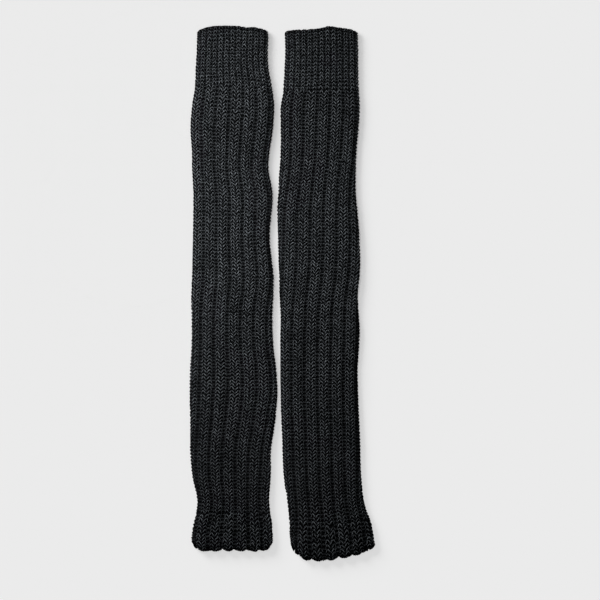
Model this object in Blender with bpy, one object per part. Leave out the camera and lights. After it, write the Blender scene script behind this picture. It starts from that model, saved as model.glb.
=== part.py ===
"""A pair of long rib-knit leg warmers, laid flat side by side with their cuffs in line.

Each leg warmer is a tube of thick knit cloth pressed flat, so that its front lies on its back
with a thin slot between them, open at both ends. It has three pieces: a cuff in close single
ribs, a long leg in broad ribs, each two stitches wide, and a flared hem whose rib ends
scallop its edge. The ribs stand out of the cloth on the front and round the sides. The
inside is plain, and the underside is flat where it rests.

X runs across the pair, Y towards the cuffs and Z up. The origin is the middle of the pair's
box, on the surface that it rests on. Sizes are in millimetres until they become points.
"""

import math
from collections import namedtuple

import bpy
import numpy as np

MM = 0.001

# The pair
PAIR_LENGTH = 669.0  # from the cuffs' edges to the lower hem's lowest point
SEAM_GAP = 0.3  # between two pieces of one tube
RING_STEP = 16.5  # the most between two rings of points along a tube

# The cloth, as it lies
UNDER_WALL = 4.2  # the back, flat on the surface; also the height of the tube's widest point
SLOT_GAP = 0.8  # between the back and the front
MOUTH_GAP = 1.8  # the same at the open ends
MOUTH_DEPTH = 24.0  # how far in from an open end the slot narrows to its gap
SIDE_WALL = 4.6  # the cloth's thickness where it turns at a side
CROWN_POWER = 8.0  # how flat the front stays before it rounds over to the sides
UNDER_RADIUS = 7.0  # how far in from a side the underside starts to be flat
LIP_LENGTH = 7.0  # an open end's rounded edge
LIP_DROP = 1.3  # how far the front comes down over it
LIP_RELIEF = 0.55  # the share of the ribs' height that is left at its end
LIP_RINGS = (0.5, 1.4)  # rings of points this many lip lengths from the edge

# The ribs. "each" is how many stand in the place of one broad rib, "relief" is how far they
# stand out of the cloth, "scallop" how far their ends stand past the notches at an open edge,
# "places" the columns of points across one, and "reach" how many broad ribs from the front's
# middle have such columns. Past that, the underside's columns are plain.
Ribs = namedtuple("Ribs", ("each", "relief", "scallop", "places", "reach"))
LEG_RIBS = Ribs(1, 2.0, 0.0, (-0.5, -0.36, -0.18, 0.0, 0.18, 0.36), 4.6)
HEM_RIBS = LEG_RIBS._replace(scallop=2.6, reach=6.6)
CUFF_RIBS = Ribs(2, 1.3, 0.9, (-0.5, -0.25, 0.0, 0.25), 4.6)
RIBS_ROUND = 13  # broad ribs all round a tube
RIB_POWER = 3.0  # a rib's roundness: a flat crest and a narrow valley
FRONT_SPREAD = 0.07  # the front's ribs are wider by this share, and the back's narrower
DRIFT_FADE = (0.30, 0.50)  # the shares of the way round between which the ribs' drift ends
PLAIN_STEP = 0.6  # the most between two plain columns, in broad ribs

# Where the inside's points lie, as shares of the way from its middle to its side
SLOT_COLUMNS = (0.0, 0.2, 0.4, 0.6, 0.8, 0.95, 1.0)

ARC_STEPS = 48
CORNER_FADE = 2.0  # a rounded corner of an open end is this many times as long as it is deep

# One row for each section, from a cuff's edge to its hem. "station" is the distance from the
# pair's upper end, "left" and "right" are the tube's sides from its own line, "height" is the
# front's between ribs, "drift" is how far the ribs have moved to the right, in ribs, "slant"
# is how much nearer the cuff the section comes for each millimetre to the right, and "arch"
# how much nearer its middle is than its sides.
SECTION_COLUMNS = ("station", "left", "right", "height", "drift", "slant", "arch")

LEFT_LINE = -62.0
LEFT_SECTIONS = (
    (0.3, -43.3, 44.2, 7.6, 0.29, 0.0, 0.0),
    (13.0, -43.5, 44.8, 7.8, 0.29, 0.0, 0.0),
    (33.0, -44.1, 43.9, 7.8, 0.29, 0.0, 0.5),
    (53.0, -45.2, 45.1, 7.7, 0.29, 0.0, 2.5),
    (76.0, -46.3, 49.2, 7.6, 0.28, 0.0, 4.5),
    (98.0, -49.7, 51.7, 8.5, 0.26, 0.0, 2.0),
    (128.0, -51.8, 50.2, 8.7, 0.26, 0.0, 0.0),
    (158.0, -50.0, 45.8, 8.4, 0.26, 0.0, 0.0),
    (173.0, -49.8, 44.4, 8.3, 0.26, 0.0, 0.0),
    (210.0, -48.3, 49.8, 8.6, 0.27, 0.0, 0.0),
    (263.0, -50.3, 46.4, 8.3, 0.40, 0.0, 0.0),
    (323.0, -51.1, 51.6, 8.6, 0.34, 0.0, 0.0),
    (353.0, -50.6, 49.9, 8.4, 0.18, 0.0, 0.0),
    (398.0, -50.2, 50.9, 8.3, 0.12, 0.0, 0.0),
    (428.0, -52.4, 54.5, 8.6, 0.16, 0.0, 0.0),
    (458.0, -52.8, 56.2, 8.7, 0.12, 0.0, 0.0),
    (488.0, -51.8, 53.8, 8.5, 0.0, 0.0, 0.0),
    (533.0, -51.7, 48.2, 8.4, -0.16, 0.0, 0.0),
    (563.0, -49.1, 48.0, 8.1, -0.26, 0.0, 0.0),
    (597.0, -43.3, 46.9, 8.2, -0.33, 0.0, 0.0),
    (609.0, -44.8, 48.3, 8.4, -0.34, 0.0, 0.0),
    (622.0, -48.0, 50.4, 8.9, -0.34, 0.0, 0.0),
    (638.0, -50.2, 51.2, 9.0, -0.33, 0.0, 0.0),
    (655.6, -50.2, 51.2, 8.8, -0.33, 0.0, 0.0),
)

RIGHT_LINE = 47.0
RIGHT_SECTIONS = (
    (2.2, -43.0, 47.8, 7.6, 0.81, 0.025, 0.0),
    (13.0, -42.7, 47.9, 7.8, 0.81, 0.02, 0.0),
    (33.0, -42.4, 48.4, 7.8, 0.81, 0.0, 0.0),
    (53.0, -43.2, 48.4, 7.7, 0.81, 0.0, 0.0),
    (80.0, -45.2, 49.1, 7.6, 0.82, 0.0, 0.0),
    (98.0, -48.3, 50.2, 8.4, 0.82, 0.0, 0.0),
    (128.0, -48.7, 48.8, 8.7, 0.83, 0.0, 0.0),
    (158.0, -49.1, 46.3, 8.5, 0.85, 0.0, 0.0),
    (203.0, -50.6, 44.9, 8.4, 0.66, 0.0, 0.0),
    (233.0, -51.8, 47.3, 8.6, 0.48, 0.0, 0.0),
    (263.0, -51.1, 49.7, 8.6, 0.38, 0.0, 0.0),
    (308.0, -49.9, 50.9, 8.4, 0.20, 0.0, 0.0),
    (353.0, -49.4, 48.9, 8.3, -0.02, 0.0, 0.0),
    (383.0, -49.7, 50.2, 8.5, -0.12, 0.0, 0.0),
    (428.0, -49.9, 47.8, 8.6, -0.08, 0.0, 0.0),
    (473.0, -49.1, 48.7, 8.4, -0.12, 0.0, 0.0),
    (518.0, -46.7, 51.0, 8.3, -0.18, 0.0, 0.0),
    (563.0, -44.2, 51.9, 8.4, -0.24, 0.0, 0.0),
    (593.0, -39.5, 55.1, 8.2, -0.38, 0.02, 0.0),
    (605.0, -37.6, 57.8, 8.4, -0.46, 0.04, -0.5),
    (621.0, -36.6, 63.0, 8.8, -0.55, 0.08, -2.0),
    (638.0, -36.4, 66.6, 9.1, -0.60, 0.11, -4.5),
    (658.9, -35.2, 69.4, 8.9, -0.62, 0.13, -7.7),
)

# How far the corners of the cuff's and of the hem's open end round back, and how suddenly.
END_COLUMNS = ("corner_left", "corner_right", "corner_power")
CUFF_END, HEM_END = 0, 1
LEFT_ENDS = (
    (7.5, 6.2, 4.0),
    (11.5, 11.5, 10.0),
)
RIGHT_ENDS = (
    (3.5, 7.5, 5.0),
    (19.0, 3.0, 6.0),
)

# Soft hollows in the front, where the cloth has settled. "across" is measured from the tube's
# line, "reach" and "width" are half sizes across and along it, and "slant" is as above.
FOLD_COLUMNS = ("station", "across", "reach", "width", "depth", "slant")
LEFT_FOLDS = (
    (68.0, -4.0, 20.0, 8.0, 0.9, 0.0),
    (163.0, 38.0, 17.0, 18.0, 0.9, 0.2),
    (256.0, -4.0, 26.0, 13.0, 0.5, -0.1),
    (366.0, -42.0, 14.0, 16.0, 0.9, 0.1),
    (381.0, 43.0, 13.0, 18.0, 1.0, -0.2),
    (447.0, -28.0, 24.0, 12.0, 0.6, 0.2),
    (515.0, -43.0, 14.0, 20.0, 0.9, 0.0),
    (557.0, 22.0, 28.0, 11.0, 1.0, -0.1),
    (602.0, 0.0, 42.0, 11.0, 0.6, 0.0),
)
RIGHT_FOLDS = (
    (88.0, -28.0, 26.0, 13.0, 0.6, 0.1),
    (185.0, 34.0, 16.0, 20.0, 0.6, 0.0),
    (238.0, -36.0, 22.0, 15.0, 0.8, -0.2),
    (330.0, 36.0, 15.0, 16.0, 0.6, 0.1),
    (403.0, -5.0, 36.0, 13.0, 0.9, 0.1),
    (518.0, -36.0, 15.0, 22.0, 0.8, 0.0),
    (590.0, 38.0, 17.0, 15.0, 0.9, 0.2),
    (618.0, -26.0, 15.0, 12.0, 0.8, 0.0),
)

# The stations of the two seams, and the ribs' phase: 0 with a rib on the line where there is
# no drift, 0.5 with a valley there.
LEFT_SEAMS = (76.0, 609.0)
RIGHT_SEAMS = (80.0, 621.0)
LEFT_PHASE = 0.0
RIGHT_PHASE = 0.5

YARN_COLOUR = (0.012, 0.013, 0.014, 1.0)
YARN_ROUGHNESS = 0.92
YARN_SHEEN = 0.25


def table(columns, rows):
    """A short table's columns by name."""
    return dict(zip(columns, np.array(rows, float).T))


def ease(share):
    """0 to 1 with a soft start and end."""
    share = np.clip(share, 0.0, 1.0)
    return share * share * (3.0 - 2.0 * share)


def between(sections, column, station):
    """One column of the sections at any station, on a smooth curve through the rows."""
    stations, values = sections["station"], sections[column]
    slopes = np.gradient(values, stations)
    row = int(np.clip(np.searchsorted(stations, station) - 1, 0, len(stations) - 2))
    length = stations[row + 1] - stations[row]
    t = (station - stations[row]) / length
    keep, turn = 1 - ease(t), ease(t)
    leave = t * (1 - t) ** 2 * length * slopes[row]
    arrive = t * t * (t - 1) * length * slopes[row + 1]
    return keep * values[row] + turn * values[row + 1] + leave + arrive


def half_outline(half_width, height):
    """A flattened tube's outline from the front's middle round to the back's.

    Returns x, z and the share of the way round, from 0 to 0.5.
    """
    turn = np.linspace(0.0, math.pi / 2, ARC_STEPS)
    front_x = half_width * np.sin(turn) ** (2 / CROWN_POWER)
    front_z = UNDER_WALL + (height - UNDER_WALL) * np.cos(turn)
    under_x = half_width - UNDER_RADIUS * (1 - np.cos(turn))
    under_z = UNDER_WALL * (1 - np.sin(turn))
    x = np.concatenate([front_x, under_x[1:], [0.0]])
    z = np.concatenate([front_z, under_z[1:], [0.0]])
    run = np.concatenate([[0.0], np.cumsum(np.hypot(np.diff(x), np.diff(z)))])
    return x, z, run / (2 * run[-1])


def rib_columns(ribs, phase):
    """The columns of points round a tube, each as its place in broad ribs from the line."""
    centres = np.arange(-(RIBS_ROUND // 2), RIBS_ROUND // 2 + 1) + phase
    centres = centres[np.abs(centres) <= ribs.reach]
    ribbed = [
        centre + (part + place - (ribs.each - 1) / 2) / ribs.each
        for centre in centres
        for part in range(ribs.each)
        for place in ribs.places
    ]
    start, end = centres[-1] + 0.5, ribbed[0] + RIBS_ROUND
    steps = math.ceil((end - start) / PLAIN_STEP)
    plain = np.linspace(start, end, steps + 1)[:-1] if steps else []
    return np.array(ribbed + list(plain))


def way_round(columns, drift):
    """The share of the way round at which each column lies, from -0.5 to 0.5 and on."""
    share = columns / RIBS_ROUND
    folded = (share + 0.5) % 1.0 - 0.5
    start, end = DRIFT_FADE
    held = 1 - ease((np.abs(folded) - start) / (end - start))
    spread = FRONT_SPREAD * np.sin(2 * math.pi * folded) / (2 * math.pi)
    return share + spread + held * drift / RIBS_ROUND


def rib_height(ribs, phase, columns):
    """How high the ribs stand at each column, from 0 in a valley to 1 on a crest."""
    place = (columns - phase) * ribs.each + (ribs.each - 1) / 2
    off_crest = np.abs(place - np.round(place))
    return 1 - (2 * off_crest) ** RIB_POWER


def fold_depth(folds, station, x):
    """How deep the soft hollows are at each x of a section."""
    fold = {column: values[:, None] for column, values in folds.items()}
    off_across = x - fold["across"]
    off_along = station - fold["station"] + fold["slant"] * off_across
    shape = np.exp(-((off_along / fold["width"]) ** 2) - (off_across / fold["reach"]) ** 2)
    return (fold["depth"] * shape).sum(axis=0)


def end_distance(sections, station):
    """Distances from the cuff's and from the hem's open edge."""
    return station - sections["station"][0], sections["station"][-1] - station


def across(sections, station):
    """A section's middle and half its width."""
    left, right = (between(sections, side, station) for side in ("left", "right"))
    return (left + right) / 2, (right - left) / 2


def inward(tube, station):
    """Which way along Y leads into the tube from the nearer open end."""
    from_cuff, from_hem = end_distance(tube["sections"], station)
    return -1 if from_cuff < from_hem else 1


def lengthways(tube, station, x):
    """The y of each point of a section, with its slant, its arch and the ends' corners."""
    sections = tube["sections"]
    middle, half_width = across(sections, station)
    off_middle = (x - middle) / half_width
    y = PAIR_LENGTH / 2 - station
    y = y + between(sections, "slant", station) * (x - middle)
    y = y + between(sections, "arch", station) * (1 - off_middle**2)
    from_cuff, from_hem = end_distance(sections, station)
    y = y - corner_depth(tube["ends"], CUFF_END, from_cuff, off_middle)
    return y + corner_depth(tube["ends"], HEM_END, from_hem, off_middle)


def corner_depth(ends, end, distance, off_middle):
    """How far an open end's rounded corners move the points that lie this far from it."""
    corner = np.where(off_middle < 0, ends["corner_left"][end], ends["corner_right"][end])
    held = 1 - ease(distance / (CORNER_FADE * corner))
    return held * corner * np.abs(off_middle) ** ends["corner_power"][end]


def outer_ring(tube, station, ribs, columns):
    """The outer points of one section, one for each column."""
    sections = tube["sections"]
    middle, half_width = across(sections, station)
    from_end = min(end_distance(sections, station))
    lip = ease(from_end / LIP_LENGTH)
    height = between(sections, "height", station) - LIP_DROP * (1 - lip)
    x, z, share = half_outline(half_width - ribs.relief / 2, height)

    place = way_round(columns, between(sections, "drift", station))
    place = (place + 0.5) % 1.0 - 0.5
    side, place = np.sign(place), np.abs(place)
    out_x = np.interp(place, share, -np.gradient(z, share))
    out_z = np.interp(place, share, np.gradient(x, share))
    out = np.hypot(out_x, out_z)
    ring_x = np.interp(place, share, x)
    ring_z = np.interp(place, share, z)

    on_front = np.clip((ring_z - UNDER_WALL) / (height - UNDER_WALL), 0.0, 1.0)
    crest = rib_height(ribs, tube["phase"], columns) * ease(ring_z / UNDER_WALL)
    raised = ribs.relief * (LIP_RELIEF + (1 - LIP_RELIEF) * lip) * crest
    ring_x = middle + side * (ring_x + raised * out_x / out)
    ring_z = ring_z + raised * out_z / out
    ring_z = ring_z - fold_depth(tube["folds"], station, ring_x) * on_front

    set_back = ribs.scallop * (1 - lip) * (1 - crest)
    y = lengthways(tube, station, ring_x)
    return np.column_stack([ring_x, y + inward(tube, station) * set_back, ring_z])


def slot_ring(tube, station, ribs):
    """The inner points of one section: the plain faces of the front and the back."""
    middle, half_width = across(tube["sections"], station)
    from_end = min(end_distance(tube["sections"], station))
    open_share = 1 - ease(from_end / MOUTH_DEPTH)
    half_gap = (SLOT_GAP + (MOUTH_GAP - SLOT_GAP) * open_share) / 2
    place = slot_places()
    in_front = np.abs(place) <= 0.25
    side = np.sign(place) * np.where(in_front, 4 * np.abs(place), 2 - 4 * np.abs(place))
    bulge = np.sqrt(1 - np.abs(side) ** CROWN_POWER)
    x = middle + (half_width - SIDE_WALL) * side
    z = UNDER_WALL + half_gap * (1 + np.where(in_front, bulge, -bulge))
    set_back = ribs.scallop * (1 - ease(from_end / LIP_LENGTH))
    y = lengthways(tube, station, x)
    return np.column_stack([x, y + inward(tube, station) * set_back, z])


def slot_places():
    """The share of the way round of each of the inside's points, from -0.5 up to 0.5."""
    quarter = np.array(SLOT_COLUMNS) / 4
    half = np.concatenate([quarter, 0.5 - quarter[-2::-1]])
    return np.concatenate([-half[:0:-1], half[:-1]])


def stations_between(tube, start, end):
    """The stations of a piece's rings, closer together at an open edge."""
    cuff_edge, hem_edge = tube["sections"]["station"][[0, -1]]
    lips = [cuff_edge + LIP_LENGTH * share for share in LIP_RINGS]
    lips += [hem_edge - LIP_LENGTH * share for share in LIP_RINGS]
    lips = [lip for lip in lips if start < lip < end]
    even = np.linspace(start, end, math.ceil((end - start) / RING_STEP) + 1)[1:-1]
    clear = [s for s in even if all(abs(s - lip) > LIP_LENGTH / 2 for lip in lips)]
    return sorted([start, end] + lips + clear)


def wall_between(rings):
    """Quads between each two rings that follow one another."""
    count = len(rings[0])
    return [
        (low[i], low[(i + 1) % count], high[(i + 1) % count], high[i])
        for low, high in zip(rings[:-1], rings[1:])
        for i in range(count)
    ]


def rim_between(outer, outer_places, inner, inner_places):
    """Triangles that close an end between the outer and the inner ring.

    Each step goes on along the ring that is further behind.
    """
    triangles = []
    i = j = 0
    outer_places = np.append(outer_places, outer_places[0] + 1)
    inner_places = np.append(inner_places, inner_places[0] + 1)
    while i < len(outer) or j < len(inner):
        here = (outer[i % len(outer)], inner[j % len(inner)])
        step_outer = j == len(inner) or (
            i < len(outer) and outer_places[i + 1] <= inner_places[j + 1]
        )
        if step_outer:
            i += 1
            triangles.append((here[0], outer[i % len(outer)], here[1]))
        else:
            j += 1
            triangles.append((here[0], inner[j % len(inner)], here[1]))
    return triangles


def every_other(stations):
    """The inside's stations, the first and the last among them."""
    return stations[:-1:2] + stations[-1:]


def knit_piece(name, tube, start, end, ribs):
    """One piece of a tube, as a wall closed all round, under the tube's empty."""
    columns = rib_columns(ribs, tube["phase"])
    stations = stations_between(tube, start, end)
    outer = [outer_ring(tube, station, ribs, columns) for station in stations]
    inner = [slot_ring(tube, station, ribs) for station in every_other(stations)]

    points = np.concatenate(outer + inner)
    index = iter(range(len(points)))
    outer_rings = [[next(index) for _ in ring] for ring in outer]
    inner_rings = [[next(index) for _ in ring] for ring in inner]
    faces = [face[::-1] for face in wall_between(outer_rings)] + wall_between(inner_rings)
    for last, turn in ((0, 1), (-1, -1)):
        drift = between(tube["sections"], "drift", stations[last])
        ring_places = way_round(columns, drift)
        first = int(np.argmin(np.abs(ring_places + 0.5)))
        ring_places = np.roll(ring_places, -first)
        ring_places = np.where(ring_places < ring_places[0], ring_places + 1, ring_places)
        rolled_ring = outer_rings[last][first:] + outer_rings[last][:first]
        rim = rim_between(rolled_ring, ring_places, inner_rings[last], slot_places())
        faces += [triangle[::turn] for triangle in rim]

    mesh = bpy.data.meshes.new(name)
    mesh.from_pydata((points * MM).tolist(), [], faces)
    mesh.shade_smooth()
    mesh.set_sharp_from_angle(angle=math.radians(50))
    mesh.materials.append(yarn_material(name + "_knit"))
    piece = bpy.data.objects.new(name, mesh)
    piece.parent = tube["empty"]
    bpy.context.scene.collection.objects.link(piece)
    return piece


def yarn_material(name):
    """Soft black wool-like yarn."""
    material = bpy.data.materials.new(name)
    material.use_nodes = True
    shader = material.node_tree.nodes["Principled BSDF"]
    shader.inputs["Base Color"].default_value = YARN_COLOUR
    shader.inputs["Roughness"].default_value = YARN_ROUGHNESS
    shader.inputs["Metallic"].default_value = 0.0
    shader.inputs["Sheen Weight"].default_value = YARN_SHEEN
    material.diffuse_color = YARN_COLOUR
    return material


def leg_warmer(side, line, sections, ends, folds, seams, phase):
    """One leg warmer: its empty on its own line, and its cuff, leg and hem."""
    empty = bpy.data.objects.new(side + "_leg_warmer", None)
    empty.location = (line * MM, 0.0, 0.0)
    bpy.context.scene.collection.objects.link(empty)
    tube = {
        "empty": empty,
        "sections": table(SECTION_COLUMNS, sections),
        "ends": table(END_COLUMNS, ends),
        "folds": table(FOLD_COLUMNS, folds),
        "phase": phase,
    }
    cuff_edge, hem_edge = tube["sections"]["station"][[0, -1]]
    cuff_seam, hem_seam = seams
    half_gap = SEAM_GAP / 2
    return [
        knit_piece(side + "_cuff", tube, cuff_edge, cuff_seam - half_gap, CUFF_RIBS),
        knit_piece(side + "_leg", tube, cuff_seam + half_gap, hem_seam - half_gap, LEG_RIBS),
        knit_piece(side + "_hem", tube, hem_seam + half_gap, hem_edge, HEM_RIBS),
    ]


def centre_on_origin(pieces):
    """Moves the two empties together, so that the pair's box is centred on the origin."""
    bpy.context.view_layer.update()
    corners = np.concatenate(
        [
            np.array([piece.matrix_world @ vertex.co for vertex in piece.data.vertices])
            for piece in pieces
        ]
    )
    middle = (corners.min(axis=0) + corners.max(axis=0)) / 2
    for empty in {piece.parent for piece in pieces}:
        empty.location.x -= middle[0]
        empty.location.y -= middle[1]


def main():
    for old in list(bpy.data.objects):
        bpy.data.objects.remove(old)
    pieces = leg_warmer(
        "left", LEFT_LINE, LEFT_SECTIONS, LEFT_ENDS, LEFT_FOLDS, LEFT_SEAMS, LEFT_PHASE
    )
    pieces += leg_warmer(
        "right", RIGHT_LINE, RIGHT_SECTIONS, RIGHT_ENDS, RIGHT_FOLDS, RIGHT_SEAMS, RIGHT_PHASE
    )
    centre_on_origin(pieces)


main()
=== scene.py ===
"""A pair of long rib-knit leg warmers, laid flat side by side: cloth, stitches and edges.

Each leg warmer is a tube of thick knit pressed flat, in three pieces: a cuff in single ribs, a
leg in broad ribs two stitches wide, and a flared hem. Under the stitches lies a thin ground
cloth, closed all round. Over it each knit stitch is two plump strands of yarn that lean
together towards the cuff. They are laid out on a flat chart of wales and courses, and wrapped
round the tube. Sizes are in millimetres until they become points.
"""

import math
from collections import namedtuple
from itertools import count

import bpy
import numpy as np
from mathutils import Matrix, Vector


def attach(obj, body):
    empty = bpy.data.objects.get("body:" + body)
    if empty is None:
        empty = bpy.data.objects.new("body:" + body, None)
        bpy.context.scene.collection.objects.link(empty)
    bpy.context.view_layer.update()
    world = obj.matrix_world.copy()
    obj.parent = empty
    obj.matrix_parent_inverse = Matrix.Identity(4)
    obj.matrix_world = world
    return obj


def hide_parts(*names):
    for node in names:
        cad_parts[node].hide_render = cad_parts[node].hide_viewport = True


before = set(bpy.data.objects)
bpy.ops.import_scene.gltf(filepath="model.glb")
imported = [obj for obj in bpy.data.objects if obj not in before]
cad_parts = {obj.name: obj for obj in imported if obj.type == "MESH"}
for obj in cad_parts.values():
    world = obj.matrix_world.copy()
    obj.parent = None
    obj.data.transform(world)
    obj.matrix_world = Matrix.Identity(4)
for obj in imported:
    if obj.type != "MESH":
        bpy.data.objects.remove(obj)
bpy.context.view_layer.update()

MM = 0.001

# The pair
PAIR_LENGTH = 669.0  # from the cuffs' edges to the lower hem's lowest point
PAIR_SHIFT = (-0.3958, -0.3463)  # moves the pair's middle to the frame's origin
SEAM_GAP = 0.3  # between two pieces of one tube

# The cloth, as it lies
UNDER_WALL = 4.2  # the back, flat on the surface; also the height of the tube's widest point
SLOT_GAP = 0.8  # between the back and the front
MOUTH_GAP = 1.2  # the same at the open ends
MOUTH_DEPTH = 24.0  # how far in from an open end the slot narrows to its gap
SIDE_WALL = 4.6  # the cloth's thickness where it turns at a side
CROWN_POWER = 8.0  # how flat the front stays before it rounds over to the sides
UNDER_RADIUS = 7.0  # how far in from a side the underside starts to be flat
LIP_LENGTH = 7.0  # an open end's rounded edge
LIP_DROP = 1.1  # how far the front comes down over it
ARC_STEPS = 48  # points along each quarter of the tube's outline
CORNER_FADE = 2.0  # a rounded corner of an open end is this many times as long as it is deep

# The ribs. "each" is how many stand in the place of one broad rib, "relief" how far they stand
# out of the cloth, "scallop" how far their ends stand past the notches at an open edge, "valley"
# how deep the cloth lies between them on the front, and "power" how flat their crests are.
RIBS_ROUND = 13  # broad ribs all round a tube
WALES_ROUND = 2 * RIBS_ROUND
FRONT_SPREAD = 0.07  # the front's ribs are wider by this share, and the back's narrower
DRIFT_FADE = (0.30, 0.50)  # the shares of the way round between which the ribs' drift ends
Ribs = namedtuple("Ribs", ("each", "relief", "scallop", "valley", "power"))
LEG_RIBS = Ribs(1, 2.0, 0.0, 1.8, 2.4)
HEM_RIBS = Ribs(1, 2.0, 3.4, 1.8, 2.4)
CUFF_RIBS = Ribs(2, 1.3, 0.9, 0.9, 2.4)
UNDER_VALLEY = 0.6  # the same as "valley" on the underside, which rests flat

# One row for each section, from a cuff's edge to its hem. "station" is the distance from the
# pair's upper end, "left" and "right" are the tube's sides from its own line, "height" is the
# front's, "drift" is by how many broad ribs the ribs stand to one side on the front, and
# "slant" and "arch" turn and bow the section lengthways.
SECTION_COLUMNS = ("station", "left", "right", "height", "drift", "slant", "arch")
LEFT_SECTIONS = (
    (0.3, -43.3, 44.2, 7.6, 0.29, 0.0, 0.0),
    (13.0, -43.5, 44.8, 7.8, 0.29, 0.0, 0.0),
    (33.0, -44.1, 43.9, 7.8, 0.29, 0.0, 0.5),
    (53.0, -45.2, 45.1, 7.7, 0.29, 0.0, 2.5),
    (76.0, -46.3, 49.2, 7.6, 0.28, 0.0, 4.5),
    (98.0, -49.7, 51.7, 8.5, 0.26, 0.0, 2.0),
    (128.0, -51.8, 50.2, 8.7, 0.26, 0.0, 0.0),
    (158.0, -50.0, 45.8, 8.4, 0.26, 0.0, 0.0),
    (173.0, -49.8, 44.4, 8.3, 0.26, 0.0, 0.0),
    (210.0, -48.3, 49.8, 8.6, 0.27, 0.0, 0.0),
    (263.0, -50.3, 46.4, 8.3, 0.40, 0.0, 0.0),
    (323.0, -51.1, 51.6, 8.6, 0.34, 0.0, 0.0),
    (353.0, -50.6, 49.9, 8.4, 0.18, 0.0, 0.0),
    (398.0, -50.2, 50.9, 8.3, 0.12, 0.0, 0.0),
    (428.0, -52.4, 54.5, 8.6, 0.16, 0.0, 0.0),
    (458.0, -52.8, 56.2, 8.7, 0.12, 0.0, 0.0),
    (488.0, -51.8, 53.8, 8.5, 0.0, 0.0, 0.0),
    (533.0, -51.7, 48.2, 8.4, -0.16, 0.0, 0.0),
    (563.0, -49.1, 48.0, 8.1, -0.26, 0.0, 0.0),
    (597.0, -43.3, 46.9, 8.2, -0.33, 0.0, 0.0),
    (609.0, -44.8, 48.3, 8.4, -0.34, 0.0, 0.0),
    (622.0, -48.0, 50.4, 8.9, -0.34, 0.0, 0.0),
    (638.0, -50.2, 51.2, 9.0, -0.33, 0.0, 0.0),
    (655.6, -50.2, 51.2, 8.8, -0.33, 0.0, 0.0),
)
RIGHT_SECTIONS = (
    (2.2, -43.0, 47.8, 7.6, 0.81, 0.025, 0.0),
    (13.0, -42.7, 47.9, 7.8, 0.81, 0.02, 0.0),
    (33.0, -42.4, 48.4, 7.8, 0.81, 0.0, 0.0),
    (53.0, -43.2, 48.4, 7.7, 0.81, 0.0, 0.0),
    (80.0, -45.2, 49.1, 7.6, 0.82, 0.0, 0.0),
    (98.0, -48.3, 50.2, 8.4, 0.82, 0.0, 0.0),
    (128.0, -48.7, 48.8, 8.7, 0.83, 0.0, 0.0),
    (158.0, -49.1, 46.3, 8.5, 0.85, 0.0, 0.0),
    (203.0, -50.6, 44.9, 8.4, 0.66, 0.0, 0.0),
    (233.0, -51.8, 47.3, 8.6, 0.48, 0.0, 0.0),
    (263.0, -51.1, 49.7, 8.6, 0.38, 0.0, 0.0),
    (308.0, -49.9, 50.9, 8.4, 0.20, 0.0, 0.0),
    (353.0, -49.4, 48.9, 8.3, -0.02, 0.0, 0.0),
    (383.0, -49.7, 50.2, 8.5, -0.12, 0.0, 0.0),
    (428.0, -49.9, 47.8, 8.6, -0.08, 0.0, 0.0),
    (473.0, -49.1, 48.7, 8.4, -0.12, 0.0, 0.0),
    (518.0, -46.7, 51.0, 8.3, -0.18, 0.0, 0.0),
    (563.0, -44.2, 51.9, 8.4, -0.24, 0.0, 0.0),
    (593.0, -39.5, 55.1, 8.2, -0.38, 0.02, 0.0),
    (605.0, -37.6, 57.8, 8.4, -0.46, 0.04, -0.5),
    (621.0, -36.6, 63.0, 8.8, -0.55, 0.08, -2.0),
    (638.0, -36.4, 66.6, 9.1, -0.60, 0.11, -4.5),
    (658.9, -35.2, 69.4, 8.9, -0.62, 0.13, -7.7),
)

# The open ends' rounded corners, the cuff's and then the hem's: how deep they are on the left
# and on the right, and how far out they begin
END_COLUMNS = ("corner_left", "corner_right", "corner_power")
CUFF_END, HEM_END = 0, 1
LEFT_ENDS = ((7.5, 6.2, 4.0), (11.5, 11.5, 10.0))
RIGHT_ENDS = ((3.5, 7.5, 5.0), (19.0, 3.0, 6.0))

# How the cuff's open edge waves: how far a wave lies from its middle and reaches, and how far it
# stands out. The waves are gone this far down the cuff.
WAVE_COLUMNS = ("off_middle", "reach", "rise")
LEFT_WAVES = ((-8.0, 20.0, 0.9), (18.0, 4.5, -1.2), (34.0, 15.0, -1.1))
RIGHT_WAVES = ((-30.0, 28.0, -1.9), (10.0, 8.5, 2.3), (32.0, 13.0, -1.1))
WAVE_FADE = 26.0

# The soft hollows on the front: where each lies along and across the tube, how far it reaches
# across and along it, how deep it is, and how it slants
FOLD_COLUMNS = ("station", "across", "reach", "width", "depth", "slant")
LEFT_FOLDS = (
    (68.0, -4.0, 20.0, 8.0, 0.9, 0.0),
    (77.0, -9.0, 17.0, 2.2, 0.8, 0.0),
    (163.0, 38.0, 17.0, 18.0, 0.9, 0.2),
    (256.0, -4.0, 26.0, 13.0, 0.5, -0.1),
    (366.0, -42.0, 14.0, 16.0, 0.9, 0.1),
    (381.0, 43.0, 13.0, 18.0, 1.0, -0.2),
    (447.0, -28.0, 24.0, 12.0, 0.6, 0.2),
    (515.0, -43.0, 14.0, 20.0, 0.9, 0.0),
    (557.0, 22.0, 28.0, 11.0, 1.0, -0.1),
    (602.0, 0.0, 42.0, 11.0, 0.6, 0.0),
)
RIGHT_FOLDS = (
    (88.0, -28.0, 26.0, 13.0, 0.6, 0.1),
    (185.0, 34.0, 16.0, 20.0, 0.6, 0.0),
    (238.0, -36.0, 22.0, 15.0, 0.8, -0.2),
    (330.0, 36.0, 15.0, 16.0, 0.6, 0.1),
    (403.0, -5.0, 36.0, 13.0, 0.9, 0.1),
    (518.0, -36.0, 15.0, 22.0, 0.8, 0.0),
    (590.0, 38.0, 17.0, 15.0, 0.9, 0.2),
    (618.0, -26.0, 15.0, 12.0, 0.8, 0.0),
)

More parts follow.
